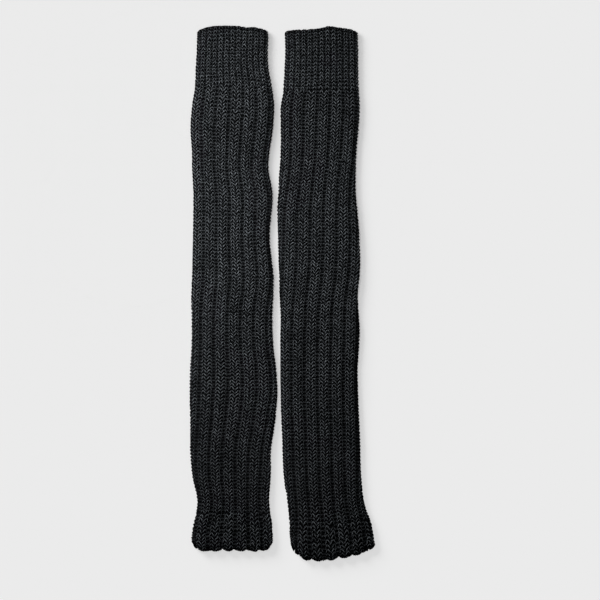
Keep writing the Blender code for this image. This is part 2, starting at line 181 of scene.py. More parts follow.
# The ground cloth, under the stitches
CLOTH_BED = 1.6  # how far it lies under the ribs' surface
CLOTH_SIDE = 1.3  # how much nearer to the surface it lies along the tube's sides
CLOTH_OVER = 0.14  # how far it reaches over its piece's ends, so that the seams let no light in
CLOTH_STEPS = 3  # its points to a wale
CLOTH_RING = 10.0  # the most between two rings of it
CLOTH_FEWEST = 6  # and the fewest rings
CREASE = math.radians(60)  # a sharper edge of it isn't smoothed

# A guide, the surface on which a chart of stitches is laid
BED = 2.0  # how far it lies under the ribs' surface
GUIDE_STEPS = 8  # its points to a wale
CHART_MARGIN = 2  # cells that a chart has over on each side
PAST_RUN = 0.5  # how fast it runs on past an open edge,
PAST_DROP, PAST_RISE = 0.6, 0.4  # sinks there on the front and rises on the back
# Painted shade: the yarn's colour is darkened where less light falls, in the valleys, on the sides
# and at the open edges
VALLEY_PAINTED_LIGHT, SIDE_PAINTED_LIGHT, EDGE_PAINTED_LIGHT = 0.9, 0.4, 0.8  # how lit the yarn is painted there, 1 on a front crest: painted shade in the rib valleys, along the tube's sides and near the open edges
EDGE_SHADE_REACH = 9.0  # how far from an open edge the yarn is painted in shade, where the edge turns under

# A strand's run in its cell: x in cells from the middle, y in courses towards the hem, z in
# millimetres over the guide. "sides" and "steps" are its faces round and along it, and "yarn" is
# how wide and high it is in millimetres.
Strand = namedtuple(
    "Strand", ("start", "start_handle", "end_handle", "end", "sides", "steps", "yarn")
)
FRONT_STRAND = Strand(
    (0.03, -0.58, 1.3), (0.15, -0.34, 1.6), (0.31, 0.12, 1.5), (0.45, 0.55, 0.7), 6, 4, (1.5, 2.1)
)
CUFF_STRAND = FRONT_STRAND._replace(end_handle=(0.26, 0.08, 1.5), end=(0.38, 0.47, 0.7))
BACK_STRAND = FRONT_STRAND._replace(sides=4, steps=3)
EDGE_STRAND = FRONT_STRAND._replace(
    start=(0.01, -0.50, 0.0),
    start_handle=(0.12, -0.30, 0.5),
    end_handle=(0.34, 0.02, 0.5),
    end=(0.49, 0.36, 0.0),
    yarn=(1.7, 1.5),
)
BROAD_PURL = Strand(
    (0.0, -0.35, 0.9), (0.05, -0.35, 0.9), (0.10, -0.25, 0.8), (0.14, -0.10, 0.3), 4, 2, (3.7, 1.9)
)
NARROW_PURL = Strand(
    (0.0, -0.35, 1.1), (0.06, -0.35, 1.1), (0.13, -0.25, 0.9), (0.20, -0.10, 0.2), 4, 2, (3.4, 1.7)
)
STRAND_POINTS = 16  # a strand's curve is worked out at this many points
STRAND_ENDS = 0.75  # a strand's thickness at its ends, 1 in its middle
FULL_HEIGHT = 2.2  # a strand this far over its guide takes all of the guide's painted light
FLOOR_GAP = 0.02  # the least between a strand and the surface that the pair lies on
GATHER = 0.05  # in wales, how much nearer the middle of a broad rib its two wales stand

# Where the chart's columns lie in a broad rib, from its crest to the valley's middle: the strands
# on the crest lie flat and wide, and the outer ones turn down steeply into the valley.
CHART_COLUMN = (0.0, 0.24, 0.48, 0.5)
RIB_COLUMN = (0.0, 0.26, 0.41, 0.5)

# How loosely a piece is knitted: by how many courses its wales slip past each other, and how many
# millimetres a stitch strays from its place
Looseness = namedtuple("Looseness", ("slip", "stray"))
CUFF_LOOSENESS, LEG_LOOSENESS = Looseness(0.8, 0.3), Looseness(1.3, 0.3)
HEM_LOOSENESS, LIP_LOOSENESS = Looseness(1.9, 0.6), Looseness(0.0, 0.3)
SLIP_PER_WALE, SLIP_PER_COURSE = 0.4, 0.045  # how soon the wales' slip past each other changes
STREAK_PER_WALE, STREAK_PER_COURSE = 1.3, 0.04  # how soon a wale's shade changes
STRAY_WAYS = (1.0, 1.0, 0.5)  # the share of a stitch's stray along x, y and z
LEAN = math.radians(6.0)  # how far a stitch leans over at the most
STITCH_WIDTHS, STITCH_HEIGHTS = (0.92, 1.06), (0.92, 1.08)  # between which its size varies
SHADE_VARIES = 0.35  # by how much the stitches of a wale differ in shade

# A chart: the column at which it starts, a cell's width in columns, how many cells it has across
# and courses along, and a cell's width in millimetres. A column is a broad rib's width.
WALE = 0.5
Chart = namedtuple("Chart", ("first", "cell", "cells", "courses", "cell_width"))
CUFF_WALE, LEG_WALE = 7.3, 8.2  # a wale's width when the knitting is pulled just flat
BACK = -RIBS_ROUND / 2  # the column at the back's middle
FRONT_SIDE, FRONT_WALES = 3.5, 14  # the front's last column to each side, and its wales
PURLED_SIDE, PURLED_VALLEYS = 5, 10  # the same for the broad purls, and how many valleys they fill

# The rounded lip of an open edge
EDGE_COURSES = 2
EDGE_COURSE = 2.7  # a course's height
EDGE_TURN = math.radians(120)  # how far round the lip a course of it goes
EDGE_START = math.radians(-20)  # where its first course starts, from the outer face
EDGE_SET = 1.0  # how far its middle line lies inside the edge
EDGE_LEAST = 0.3  # its guide's least radius
EDGE_RINGS = 19  # rings of points in its guide

SEED_STEP = 10  # between two charts' seeds


def table(columns, rows):
    """A short table's columns by name."""
    return dict(zip(columns, np.array(rows, float).T))


def ease(share):
    """0 to 1 with a soft start and end."""
    share = np.clip(share, 0.0, 1.0)
    return share * share * (3.0 - 2.0 * share)


def between(sections, column, station):
    """One column of the sections at any station, on a smooth curve through the rows."""
    stations, values = sections["station"], sections[column]
    slopes = np.gradient(values, stations)
    row = int(np.clip(np.searchsorted(stations, station) - 1, 0, len(stations) - 2))
    length = stations[row + 1] - stations[row]
    t = np.clip((station - stations[row]) / length, 0.0, 1.0)
    keep, turn = 1 - ease(t), ease(t)
    leave = t * (1 - t) ** 2 * length * slopes[row]
    arrive = t * t * (t - 1) * length * slopes[row + 1]
    return keep * values[row] + turn * values[row + 1] + leave + arrive


def half_outline(half_width, height):
    """A flattened tube's outline from the front's middle round to the back's: x, z and share."""
    turn = np.linspace(0.0, math.pi / 2, ARC_STEPS)
    front_x = half_width * np.sin(turn) ** (2 / CROWN_POWER)
    front_z = UNDER_WALL + (height - UNDER_WALL) * np.cos(turn)
    under_x = half_width - UNDER_RADIUS * (1 - np.cos(turn))
    under_z = UNDER_WALL * (1 - np.sin(turn))
    x = np.concatenate([front_x, under_x[1:], [0.0]])
    z = np.concatenate([front_z, under_z[1:], [0.0]])
    run = np.concatenate([[0.0], np.cumsum(np.hypot(np.diff(x), np.diff(z)))])
    return x, z, run / (2 * run[-1])


def from_front(share):
    """A share of the way round, counted to both sides from the front's middle."""
    return (share + 0.5) % 1.0 - 0.5


def way_round(tube, station, columns):
    """The share of the way round at which each column lies, from the front's middle."""
    share = columns / RIBS_ROUND
    folded = from_front(share)
    start, end = DRIFT_FADE
    held = 1 - ease((np.abs(folded) - start) / (end - start))
    spread = FRONT_SPREAD * np.sin(2 * math.pi * folded) / (2 * math.pi)
    drift = between(tube["sections"], "drift", station)
    return from_front(share + spread + held * drift / RIBS_ROUND)


def rib_height(ribs, phase, columns):
    """How high the ribs stand at each column, from 0 in a valley to 1 on a crest."""
    place = (columns - phase) * ribs.each + (ribs.each - 1) / 2
    off_crest = np.abs(place - np.round(place))
    return 1 - (2 * off_crest) ** ribs.power


def against_points(rows):
    """A short table's columns turned so that each of its rows meets all of a section's points."""
    return {column: values[:, None] for column, values in rows.items()}


def fold_depth(folds, station, x):
    """How deep the soft hollows are at each x of a section."""
    fold = against_points(folds)
    off_across = x - fold["across"]
    off_along = station - fold["station"] + fold["slant"] * off_across
    shape = np.exp(-((off_along / fold["width"]) ** 2) - (off_across / fold["reach"]) ** 2)
    return (fold["depth"] * shape).sum(axis=0)


def end_distance(sections, station):
    """Distances from the cuff's and from the hem's open edge."""
    return station - sections["station"][0], sections["station"][-1] - station


def away_from_ends(tube, station, length):
    """0 at an open end, and 1 from this far away."""
    return ease(min(end_distance(tube["sections"], station)) / length)


def across(sections, station):
    """A section's middle and half its width."""
    left, right = (between(sections, side, station) for side in ("left", "right"))
    return (left + right) / 2, (right - left) / 2


def inward(tube, station):
    """Which way along Y leads into the tube from the nearer open end."""
    from_cuff, from_hem = end_distance(tube["sections"], station)
    return -1 if from_cuff < from_hem else 1


def corner_depth(ends, end, distance, off_middle):
    """How far an open end's rounded corners move the points that lie this far from it."""
    corner = np.where(off_middle < 0, ends["corner_left"][end], ends["corner_right"][end])
    held = 1 - ease(distance / (CORNER_FADE * corner))
    return held * corner * np.abs(off_middle) ** ends["corner_power"][end]


def edge_wave(waves, from_cuff, off_middle):
    """How far out of line the cuff's open edge moves the points that lie this far from it."""
    wave = against_points(waves)
    shape = wave["rise"] * np.exp(-(((off_middle - wave["off_middle"]) / wave["reach"]) ** 2))
    return shape.sum(axis=0) * (1 - ease(from_cuff / WAVE_FADE))


def lengthways(tube, station, x):
    """The y of each point of a section, with its slant, its arch and the ends' corners."""
    sections = tube["sections"]
    middle, half_width = across(sections, station)
    off_middle = (x - middle) / half_width
    y = PAIR_LENGTH / 2 - station
    y = y + between(sections, "slant", station) * (x - middle)
    y = y + between(sections, "arch", station) * (1 - off_middle**2)
    from_cuff, from_hem = end_distance(sections, station)
    y = y - corner_depth(tube["ends"], CUFF_END, from_cuff, off_middle)
    y = y + edge_wave(tube["waves"], from_cuff, x - middle)
    return y + corner_depth(tube["ends"], HEM_END, from_hem, off_middle)


def placed(tube, station, ribs, crest, x, z):
    """Points of a section in the pair's frame, with the scallops of an open end."""
    set_back = ribs.scallop * (1 - away_from_ends(tube, station, LIP_LENGTH)) * (1 - crest)
    y = lengthways(tube, station, x) + inward(tube, station) * set_back
    return np.column_stack([x + tube["line"] + PAIR_SHIFT[0], y + PAIR_SHIFT[1], z])


def outer_ring(tube, station, ribs, columns, under=0.0):
    """Points of a section this far under its ribbed surface, and which way is out there."""
    sections = tube["sections"]
    middle, half_width = across(sections, station)
    lip = away_from_ends(tube, station, LIP_LENGTH)
    height = between(sections, "height", station) - LIP_DROP * (1 - lip)
    x, z, share = half_outline(half_width - ribs.relief / 2, height)

    place = way_round(tube, station, columns)
    side, place = np.sign(place), np.abs(place)
    out_x = np.interp(place, share, -np.gradient(z, share))
    out_z = np.interp(place, share, np.gradient(x, share))
    out = np.hypot(out_x, out_z)
    out_x, out_z = side * out_x / out, out_z / out
    ring_x = middle + side * np.interp(place, share, x)
    ring_z = np.interp(place, share, z)

    on_front = np.clip((ring_z - UNDER_WALL) / (height - UNDER_WALL), 0.0, 1.0)
    off_under = ease(ring_z / UNDER_WALL)
    crest = rib_height(ribs, tube["phase"], columns)
    valley = UNDER_VALLEY + (ribs.valley - UNDER_VALLEY) * off_under
    raised = ribs.relief * off_under - valley * (1 - crest) - under
    ring_x = ring_x + raised * out_x
    ring_z = ring_z + raised * out_z
    ring_z = ring_z - fold_depth(tube["folds"], station, ring_x) * on_front
    ring = placed(tube, station, ribs, crest, ring_x, ring_z)
    return ring, np.column_stack([out_x, 0 * out_x, out_z])


def slot_ring(tube, station, ribs, columns):
    """The inner points of one section: the plain faces of the front and the back."""
    middle, half_width = across(tube["sections"], station)
    open_share = 1 - away_from_ends(tube, station, MOUTH_DEPTH)
    half_gap = (SLOT_GAP + (MOUTH_GAP - SLOT_GAP) * open_share) / 2
    place = way_round(tube, station, columns)
    in_front = np.abs(place) <= 0.25
    side = np.sign(place) * np.where(in_front, 4 * np.abs(place), 2 - 4 * np.abs(place))
    bulge = np.sqrt(1 - np.abs(side) ** CROWN_POWER)
    x = middle + (half_width - SIDE_WALL) * side
    z = UNDER_WALL + half_gap * (1 + np.where(in_front, bulge, -bulge))
    return placed(tube, station, ribs, rib_height(ribs, tube["phase"], columns), x, z)


def past_edge(tube, station):
    """A station held inside the tube, and how far it lies past the open edge."""
    first, last = tube["sections"]["station"][[0, -1]]
    held = min(max(station, first), last)
    return held, station - held


def grid_faces(rows, columns, close_rows=False, close_columns=False):
    """Quads of a grid of points, in rows."""
    return [
        (
            r * columns + c,
            r * columns + (c + 1) % columns,
            (r + 1) % rows * columns + (c + 1) % columns,
            (r + 1) % rows * columns + c,
        )
        for r in range(rows if close_rows else rows - 1)
        for c in range(columns if close_columns else columns - 1)
    ]


def new_mesh(name, points, faces):
    """An object in the scene, from points in millimetres."""
    mesh = bpy.data.meshes.new(name)
    mesh.from_pydata((np.asarray(points) * MM).tolist(), [], faces)
    piece = bpy.data.objects.new(name, mesh)
    bpy.context.scene.collection.objects.link(piece)
    return piece


# ---------------------------------------------------------------- stitches


def node(tree, kind, inputs=(), **settings):
    """A node with its settings, and its inputs set or linked by name or index."""
    made = tree.nodes.new(kind)
    for name, value in settings.items():
        setattr(made, name, value)
    for socket, value in dict(inputs).items():
        if isinstance(value, bpy.types.NodeSocket):
            tree.links.new(value, made.inputs[socket])
        else:
            made.inputs[socket].default_value = value
    return made


def made_by(tree, kind, inputs=(), **settings):
    """What a node gives first."""
    return node(tree, kind, inputs, **settings).outputs[0]


def math_node(tree, operation, first, second=0.0, third=0.0):
    """A Math node's value."""
    return made_by(tree, "ShaderNodeMath", {0: first, 1: second, 2: third}, operation=operation)


def vector_node(tree, operation, first, second):
    """A Vector Math node's vector."""
    return made_by(tree, "ShaderNodeVectorMath", {0: first, 1: second}, operation=operation)


def scaled(tree, vector, size):
    """A vector times a value."""
    inputs = {0: vector, "Scale": size}
    return made_by(tree, "ShaderNodeVectorMath", inputs, operation="SCALE")


def combined(tree, x=0.0, y=0.0, z=0.0):
    """A vector of three values."""
    return made_by(tree, "ShaderNodeCombineXYZ", {0: x, 1: y, 2: z})


def stored(tree, geometry, name, value, domain="POINT"):
    """Geometry that keeps a value under a name."""
    inputs = {"Geometry": geometry, "Name": name, "Value": value}
    return made_by(tree, "GeometryNodeStoreNamedAttribute", inputs, domain=domain)


def kept_vector(tree, name):
    """A vector that the geometry keeps under a name."""
    kind = "GeometryNodeInputNamedAttribute"
    return made_by(tree, kind, {"Name": name}, data_type="FLOAT_VECTOR")


def by_identifier(sockets):
    """A node's sockets by identifier, where several have one name."""
    return {socket.identifier: socket for socket in sockets}


def named_inputs(tree, sockets):
    """Adds a tree's inputs, and gives each one's identifier by its name."""
    found = {}
    for name, kind in sockets:
        socket = tree.interface.new_socket(name, in_out="INPUT", socket_type="NodeSocket" + kind)
        found[name] = socket.identifier
    return found


LEAST_PLACE = (-9.0, -9.0, FLOOR_GAP * MM)  # a limit for the height alone
STRAND_RUN = ("Start", "Start Handle", "End Handle", "End")
STITCH_INPUTS = (
    ("Guide", "Geometry"),
    ("Wales", "Int"),
    ("Courses", "Int"),
    ("Wale Width", "Float"),
    ("Course Height", "Float"),
    ("Gather", "Float"),
    *(("Strand " + title, "Vector") for title in STRAND_RUN),
    ("Strand Sides", "Int"),
    ("Strand Steps", "Int"),
    ("Yarn Width", "Float"),
    ("Yarn Height", "Float"),
    ("Unevenness", "Float"),
    ("Slip", "Float"),
    ("Lean", "Float"),
    ("Seed", "Int"),
    ("Yarn", "Material"),
)


def strand_curves(tree, given):
    """One strand of yarn and its twin on the stitch's other side."""
    run = {title: given["Strand " + title] for title in STRAND_RUN}
    run["Resolution"] = STRAND_POINTS
    strand = made_by(tree, "GeometryNodeCurvePrimitiveBezierSegment", run)
    cell = combined(tree, given["Wale Width"], given["Course Height"], MM)
    strand = made_by(tree, "GeometryNodeTransform", {"Geometry": strand, "Scale": cell})
    points = math_node(tree, "ADD", given["Strand Steps"], 1.0)
    strand = made_by(tree, "GeometryNodeResampleCurve", {"Curve": strand, "Count": points})
    mirror = {"Geometry": strand, "Scale": (-1.0, 1.0, 1.0)}
    twin = made_by(tree, "GeometryNodeTransform", mirror)
    pair = tree.nodes.new("GeometryNodeJoinGeometry")
    tree.links.new(strand, pair.inputs[0])
    tree.links.new(twin, pair.inputs[0])
    return pair.outputs[0]


def stitch_form(tree, given):
    """A stitch: plump yarn along its two strands, which keeps how far along and round it is."""
    along = tree.nodes.new("GeometryNodeSplineParameter").outputs["Factor"]
    pair = stored(tree, strand_curves(tree, given), "along", along)
    upright = made_by(tree, "GeometryNodeSetCurveNormal", {"Curve": pair}, mode="Z_UP")
    circle = {"Resolution": given["Strand Sides"], "Radius": 0.5}  # 1 across, to be scaled
    profile = made_by(tree, "GeometryNodeCurvePrimitiveCircle", circle)
    round_it = tree.nodes.new("GeometryNodeSplineParameter").outputs["Factor"]
    profile = stored(tree, profile, "round", round_it)
    girth = combined(tree, given["Yarn Width"], given["Yarn Height"], 1.0)
    profile = made_by(tree, "GeometryNodeTransform", {"Geometry": profile, "Scale": girth})
    bow = math_node(tree, "SINE", math_node(tree, "MULTIPLY", along, math.pi))
    plump = math_node(tree, "MULTIPLY_ADD", bow, 1 - STRAND_ENDS, STRAND_ENDS)
    yarn = {"Curve": upright, "Profile Curve": profile, "Scale": plump, "Fill Caps": True}
    return made_by(tree, "GeometryNodeCurveToMesh", yarn)


def chart_noise(tree, wale, course, per_wale, per_course, seed):
    """A smooth noise over the chart, from 0 to 1."""
    x = math_node(tree, "MULTIPLY", wale, per_wale)
    y = math_node(tree, "MULTIPLY", course, per_course)
    inputs = {"Vector": combined(tree, x, y, seed), "Scale": 1.0, "Detail": 0.0}
    return made_by(tree, "ShaderNodeTexNoise", inputs)


def stitch_places(tree, given, wale, course):
    """A point for each stitch of the chart, a little out of its place."""
    middle = CHART_MARGIN + 0.5
    odd = math_node(tree, "MODULO", wale, 2.0)
    pull = math_node(tree, "MULTIPLY", given["Gather"], math_node(tree, "SUBTRACT", 0.5, odd))
    in_wales = math_node(tree, "ADD", math_node(tree, "ADD", wale, middle), pull)
    at_x = math_node(tree, "MULTIPLY", in_wales, given["Wale Width"])
    slip = chart_noise(tree, wale, course, SLIP_PER_WALE, SLIP_PER_COURSE, given["Seed"])
    slip = math_node(tree, "SUBTRACT", slip, 0.5)
    slip = math_node(tree, "MULTIPLY_ADD", slip, given["Slip"], middle)
    in_courses = math_node(tree, "ADD", course, slip)
    at_y = math_node(tree, "MULTIPLY", in_courses, given["Course Height"])
    inputs = {"Min": tuple(-way for way in STRAY_WAYS), "Max": STRAY_WAYS, "Seed": given["Seed"]}
    stray = made_by(tree, "FunctionNodeRandomValue", inputs, data_type="FLOAT_VECTOR")
    stray = scaled(tree, stray, given["Unevenness"])
    place = vector_node(tree, "ADD", combined(tree, at_x, at_y), stray)
    all_cells = math_node(tree, "MULTIPLY", given["Wales"], given["Courses"])
    return made_by(tree, "GeometryNodePoints", {"Count": all_cells, "Position": place})


def random_value(tree, given, between_these, seed_step):
    """A random value for each stitch."""
    made = tree.nodes.new("FunctionNodeRandomValue")
    inputs = by_identifier(made.inputs)
    inputs["Min_001"].default_value, inputs["Max_001"].default_value = between_these
    tree.links.new(math_node(tree, "ADD", given["Seed"], seed_step), inputs["Seed"])
    return by_identifier(made.outputs)["Value_001"]


def flat_knit(tree, given):
    """The stitches on their chart, each with a size, a lean and a shade of its own."""
    index = tree.nodes.new("GeometryNodeInputIndex").outputs[0]
    wale = math_node(tree, "MODULO", index, given["Wales"])
    course = math_node(tree, "FLOOR", math_node(tree, "DIVIDE", index, given["Wales"]))
    lean = random_value(tree, given, (-1.0, 1.0), 1)
    width = random_value(tree, given, STITCH_WIDTHS, 2)
    height = random_value(tree, given, STITCH_HEIGHTS, 3)
    stitches = made_by(
        tree,
        "GeometryNodeInstanceOnPoints",
        {
            "Points": stitch_places(tree, given, wale, course),
            "Instance": stitch_form(tree, given),
            "Rotation": combined(tree, z=math_node(tree, "MULTIPLY", lean, given["Lean"])),
            "Scale": combined(tree, width, height, 1.0),
        },
    )
    seed = math_node(tree, "ADD", given["Seed"], 0.5)
    streak = chart_noise(tree, wale, course, STREAK_PER_WALE, STREAK_PER_COURSE, seed)
    streak = math_node(tree, "SUBTRACT", streak, SHADE_VARIES / 2)
    own = random_value(tree, given, (0.0, 1.0), 4)
    shade = math_node(tree, "MULTIPLY_ADD", own, SHADE_VARIES, streak)
    stitches = stored(tree, stitches, "shade", shade, domain="INSTANCE")
    return made_by(tree, "GeometryNodeRealizeInstances", {"Geometry": stitches})


def wrapped_knit(tree, given, flat):
    """Flat knit wrapped on the guide: a point's place on the chart is its place there."""
    position = tree.nodes.new("GeometryNodeInputPosition").outputs[0]
    spot = node(tree, "ShaderNodeSeparateXYZ", {0: position}).outputs
    shares = []
    for way, cells, size in ((0, "Wales", "Wale Width"), (1, "Courses", "Course Height")):
        with_margins = math_node(tree, "ADD", given[cells], 2.0 * CHART_MARGIN)
        whole = math_node(tree, "MULTIPLY", with_margins, given[size])
        shares.append(math_node(tree, "DIVIDE", spot[way], whole))
    on_chart = combined(tree, *shares)
    chart = kept_vector(tree, "chart")

    def on_guide(value):
        """A vector of the guide, under each point of the chart."""
        inputs = {"Mesh": given["Guide"], "Value": value, "UV Map": chart, "Sample UV": on_chart}
        return made_by(tree, "GeometryNodeSampleUVSurface", inputs, data_type="FLOAT_VECTOR")

    # The guide's painted light: painted shade that darkens the yarn in the valleys, on the sides
    # and near the open edges
    painted_light = on_guide(kept_vector(tree, "painted_light"))
    painted_light = made_by(tree, "ShaderNodeSeparateXYZ", {0: painted_light})
    height = math_node(tree, "DIVIDE", spot[2], FULL_HEIGHT * MM)
    raised = math_node(tree, "MULTIPLY", math_node(tree, "MAXIMUM", height, 0.0), painted_light)
    flat = stored(tree, flat, "raised", raised)
    risen = scaled(tree, on_guide(kept_vector(tree, "out")), spot[2])
    wrapped = vector_node(tree, "ADD", on_guide(position), risen)
    wrapped = vector_node(tree, "MAXIMUM", wrapped, LEAST_PLACE)
    knit = made_by(tree, "GeometryNodeSetPosition", {"Geometry": flat, "Position": wrapped})
    knit = made_by(tree, "GeometryNodeFlipFaces", {"Mesh": knit})
    return made_by(tree, "GeometryNodeSetShadeSmooth", {"Geometry": knit})


def stitch_tree():
    """Knit stitches on a flat chart, wrapped round the guide surface that comes in."""
    tree = bpy.data.node_groups.new("knit_stitches", "GeometryNodeTree")
    names = named_inputs(tree, STITCH_INPUTS)
    tree.interface.new_socket("Knit", in_out="OUTPUT", socket_type="NodeSocketGeometry")
    given = tree.nodes.new("NodeGroupInput").outputs
    knit = wrapped_knit(tree, given, flat_knit(tree, given))
    inputs = {"Geometry": knit, "Material": given["Yarn"]}
    knit = made_by(tree, "GeometryNodeSetMaterial", inputs)
    tree.links.new(knit, tree.nodes.new("NodeGroupOutput").inputs[0])
    return tree, names


STITCH_TREE, STITCH_NAMES = stitch_tree()


def knit_on(name, guide, chart, course_height, gather, looseness, strand, yarn, seed):
    """A piece of knit stitches on a guide, which it uses up."""
    modifier = guide.modifiers.new("knit", "NODES")
    modifier.node_group = STITCH_TREE
    values = {
        "Wales": chart.cells,
        "Courses": chart.courses,
        "Wale Width": chart.cell_width * MM,
        "Course Height": course_height * MM,
        "Gather": gather,
        **{"Strand " + title: point for title, point in zip(STRAND_RUN, strand)},
        "Strand Sides": strand.sides,
        "Strand Steps": strand.steps,
        "Yarn Width": strand.yarn[0] * MM,
        "Yarn Height": strand.yarn[1] * MM,
        "Unevenness": looseness.stray * MM,
        "Slip": looseness.slip,
        "Lean": LEAN,
        "Seed": seed,
        "Yarn": yarn,
    }
    for title, value in values.items():
        modifier[STITCH_NAMES[title]] = value
    seen = guide.evaluated_get(bpy.context.evaluated_depsgraph_get())
    mesh = bpy.data.meshes.new_from_object(seen)
    guide.modifiers.clear()
    plain = guide.data
    guide.data = mesh
    bpy.data.meshes.remove(plain)
    guide.name = mesh.name = name
    return guide


def chart_columns(chart, ribs, phase):
    """The columns at which a guide has points: a chart's cells and its margins."""
    cells = chart.cells + 2 * CHART_MARGIN
    first = chart.first - CHART_MARGIN * chart.cell
    steps = round(cells * chart.cell / WALE) * GUIDE_STEPS + 1
    columns = np.linspace(first, first + cells * chart.cell, steps)
    if ribs.each > 1:
        return columns
    crest = np.round(columns - phase) + phase
    off_crest = columns - crest
    return crest + np.sign(off_crest) * np.interp(np.abs(off_crest), CHART_COLUMN, RIB_COLUMN)


def painted_light_at(tube, station):
    """How lit the yarn of a ring is painted, from its distance to the nearer open edge: painted
    shade near the edge, where it turns under.
    """
    return EDGE_PAINTED_LIGHT + (1 - EDGE_PAINTED_LIGHT) * away_from_ends(tube, station, EDGE_SHADE_REACH)


def guide_mesh(rings, outs, rows, crest, painted_lit):
    """A guide of rings of points: their rows on the chart, which way is out, and their painted
    light.
    """
    steps = len(crest)
    guide = new_mesh("guide", np.concatenate(rings), grid_faces(len(rings), steps))
    mesh = guide.data
    outs = np.concatenate(outs)
    # Painted shade: darker in the rib valleys and along the sides, where less light falls, on top
    # of the edges' painted shade
    painted_lit = np.outer(painted_lit, VALLEY_PAINTED_LIGHT + (1 - VALLEY_PAINTED_LIGHT) * crest).ravel()
    painted_lit = painted_lit * (SIDE_PAINTED_LIGHT + (1 - SIDE_PAINTED_LIGHT) * np.abs(outs[:, 2]))
    painted_light = mesh.attributes.new("painted_light", "FLOAT_VECTOR", "POINT")
    painted_light.data.foreach_set("vector", np.repeat(painted_lit, 3))
    out = mesh.attributes.new("out", "FLOAT_VECTOR", "POINT")
    out.data.foreach_set("vector", outs.ravel())
    chart = mesh.uv_layers.new(name="chart")
    corner = np.zeros(len(mesh.loops), np.int32)
    mesh.loops.foreach_get("vertex_index", corner)
    u = (corner % steps) / (steps - 1)
    v = np.asarray(rows)[corner // steps]
    chart.data.foreach_set("uv", np.column_stack([u, v]).ravel())
    return guide


def guide_surface(tube, ribs, start, end, chart):
    """The surface under a piece's stitches."""
    columns = chart_columns(chart, ribs, tube["phase"])
    height = (end - start) / chart.courses
    over = CHART_MARGIN * height
    rows = np.linspace(0.0, 1.0, 2 * (chart.courses + 2 * CHART_MARGIN) + 1)
    rings, outs, painted_lit = [], [], []
    for row in rows:
        held, past = past_edge(tube, start - over + row * (end - start + 2 * over))
        ring, out = outer_ring(tube, held, ribs, columns, BED)
        ring[:, 1] -= past * PAST_RUN
        ring[:, 2] += np.where(out[:, 2] < 0, PAST_RISE, -PAST_DROP) * abs(past)
        rings.append(ring)
        outs.append(out)
        painted_lit.append(painted_light_at(tube, held))
    return guide_mesh(rings, outs, rows, rib_height(ribs, tube["phase"], columns), painted_lit)


def edge_surface(tube, ribs, station, chart):
    """The rounded lip of an open edge, between the outer face and the slot."""
    columns = chart_columns(chart, ribs, tube["phase"])
    face, _ = outer_ring(tube, station, ribs, columns)
    slot = slot_ring(tube, station, ribs, columns)
    half = (face - slot) / 2
    thick = np.linalg.norm(half, axis=1, keepdims=True)
    out = half / thick
    leave = np.array([0.0, -inward(tube, station), 0.0])
    middle = (face + slot) / 2 - EDGE_SET * leave
    radius = np.maximum(thick - EDGE_STRAND.yarn[1] / 2, EDGE_LEAST)
    cells = chart.courses + 2 * CHART_MARGIN
    rows = np.linspace(CHART_MARGIN - 0.5, CHART_MARGIN + chart.courses + 0.5, EDGE_RINGS)
    from_face = rows if leave[1] < 0 else cells - rows
    turns = EDGE_START + (from_face - CHART_MARGIN) * EDGE_TURN
    ways = [out * math.cos(turn) + leave * math.sin(turn) for turn in turns]
    rings = [middle + way * radius for way in ways]
    # The lip's yarn takes its edge's painted shade
    painted_lit = [painted_light_at(tube, station)] * len(rings)
    return guide_mesh(rings, ways, rows / cells, rib_height(ribs, tube["phase"], columns), painted_lit)


def ground_cloth(name, tube, ribs, start, end, material):
    """The thin cloth under the stitches, closed round its inner and outer face."""
    columns = np.linspace(BACK, BACK + RIBS_ROUND, WALES_ROUND * CLOTH_STEPS + 1)[:-1]
    rings_needed = max(math.ceil((end - start) / CLOTH_RING) + 1, CLOTH_FEWEST)
    stations = np.linspace(start - CLOTH_OVER, end + CLOTH_OVER, rings_needed)
    outer = []
    for station in stations:
        ring, out = outer_ring(tube, station, ribs, columns, CLOTH_BED)
        outer.append(ring + CLOTH_SIDE * np.abs(out[:, :1]) * out)
    inner = [slot_ring(tube, s, ribs, columns) for s in stations[::-1]]
    rings = outer + inner
    faces = grid_faces(len(rings), len(columns), close_rows=True, close_columns=True)
    cloth = new_mesh(name, np.concatenate(rings), [face[::-1] for face in faces])
    cloth.data.shade_smooth()
    cloth.data.set_sharp_from_angle(angle=CREASE)
    cloth.data.materials.append(material)
    return cloth


# ---------------------------------------------------------------- finishes


PLIES, PLIES_ALONG = 3.0, 1.5  # how many plies pass by round a yarn, and along a strand
FIBRES, MOTTLES, PATCHES = 1900.0, 900.0, 26.0  # how many of each there are to a metre
YARN_ROUGH, ROUGH_VARIES = 0.62, 0.25
YARN_SHINE = 0.01
PLY_DEPTH = 0.12  # how deep the plies' relief is

LOOK_FIELDS = ("Raised", "Shade", "Along", "Round")
LOOK_INPUTS = LOOK_FIELDS + ("Dark Below", "Light Above")
LOOK_OUTPUTS = ("Tone", "Height", "Roughness")


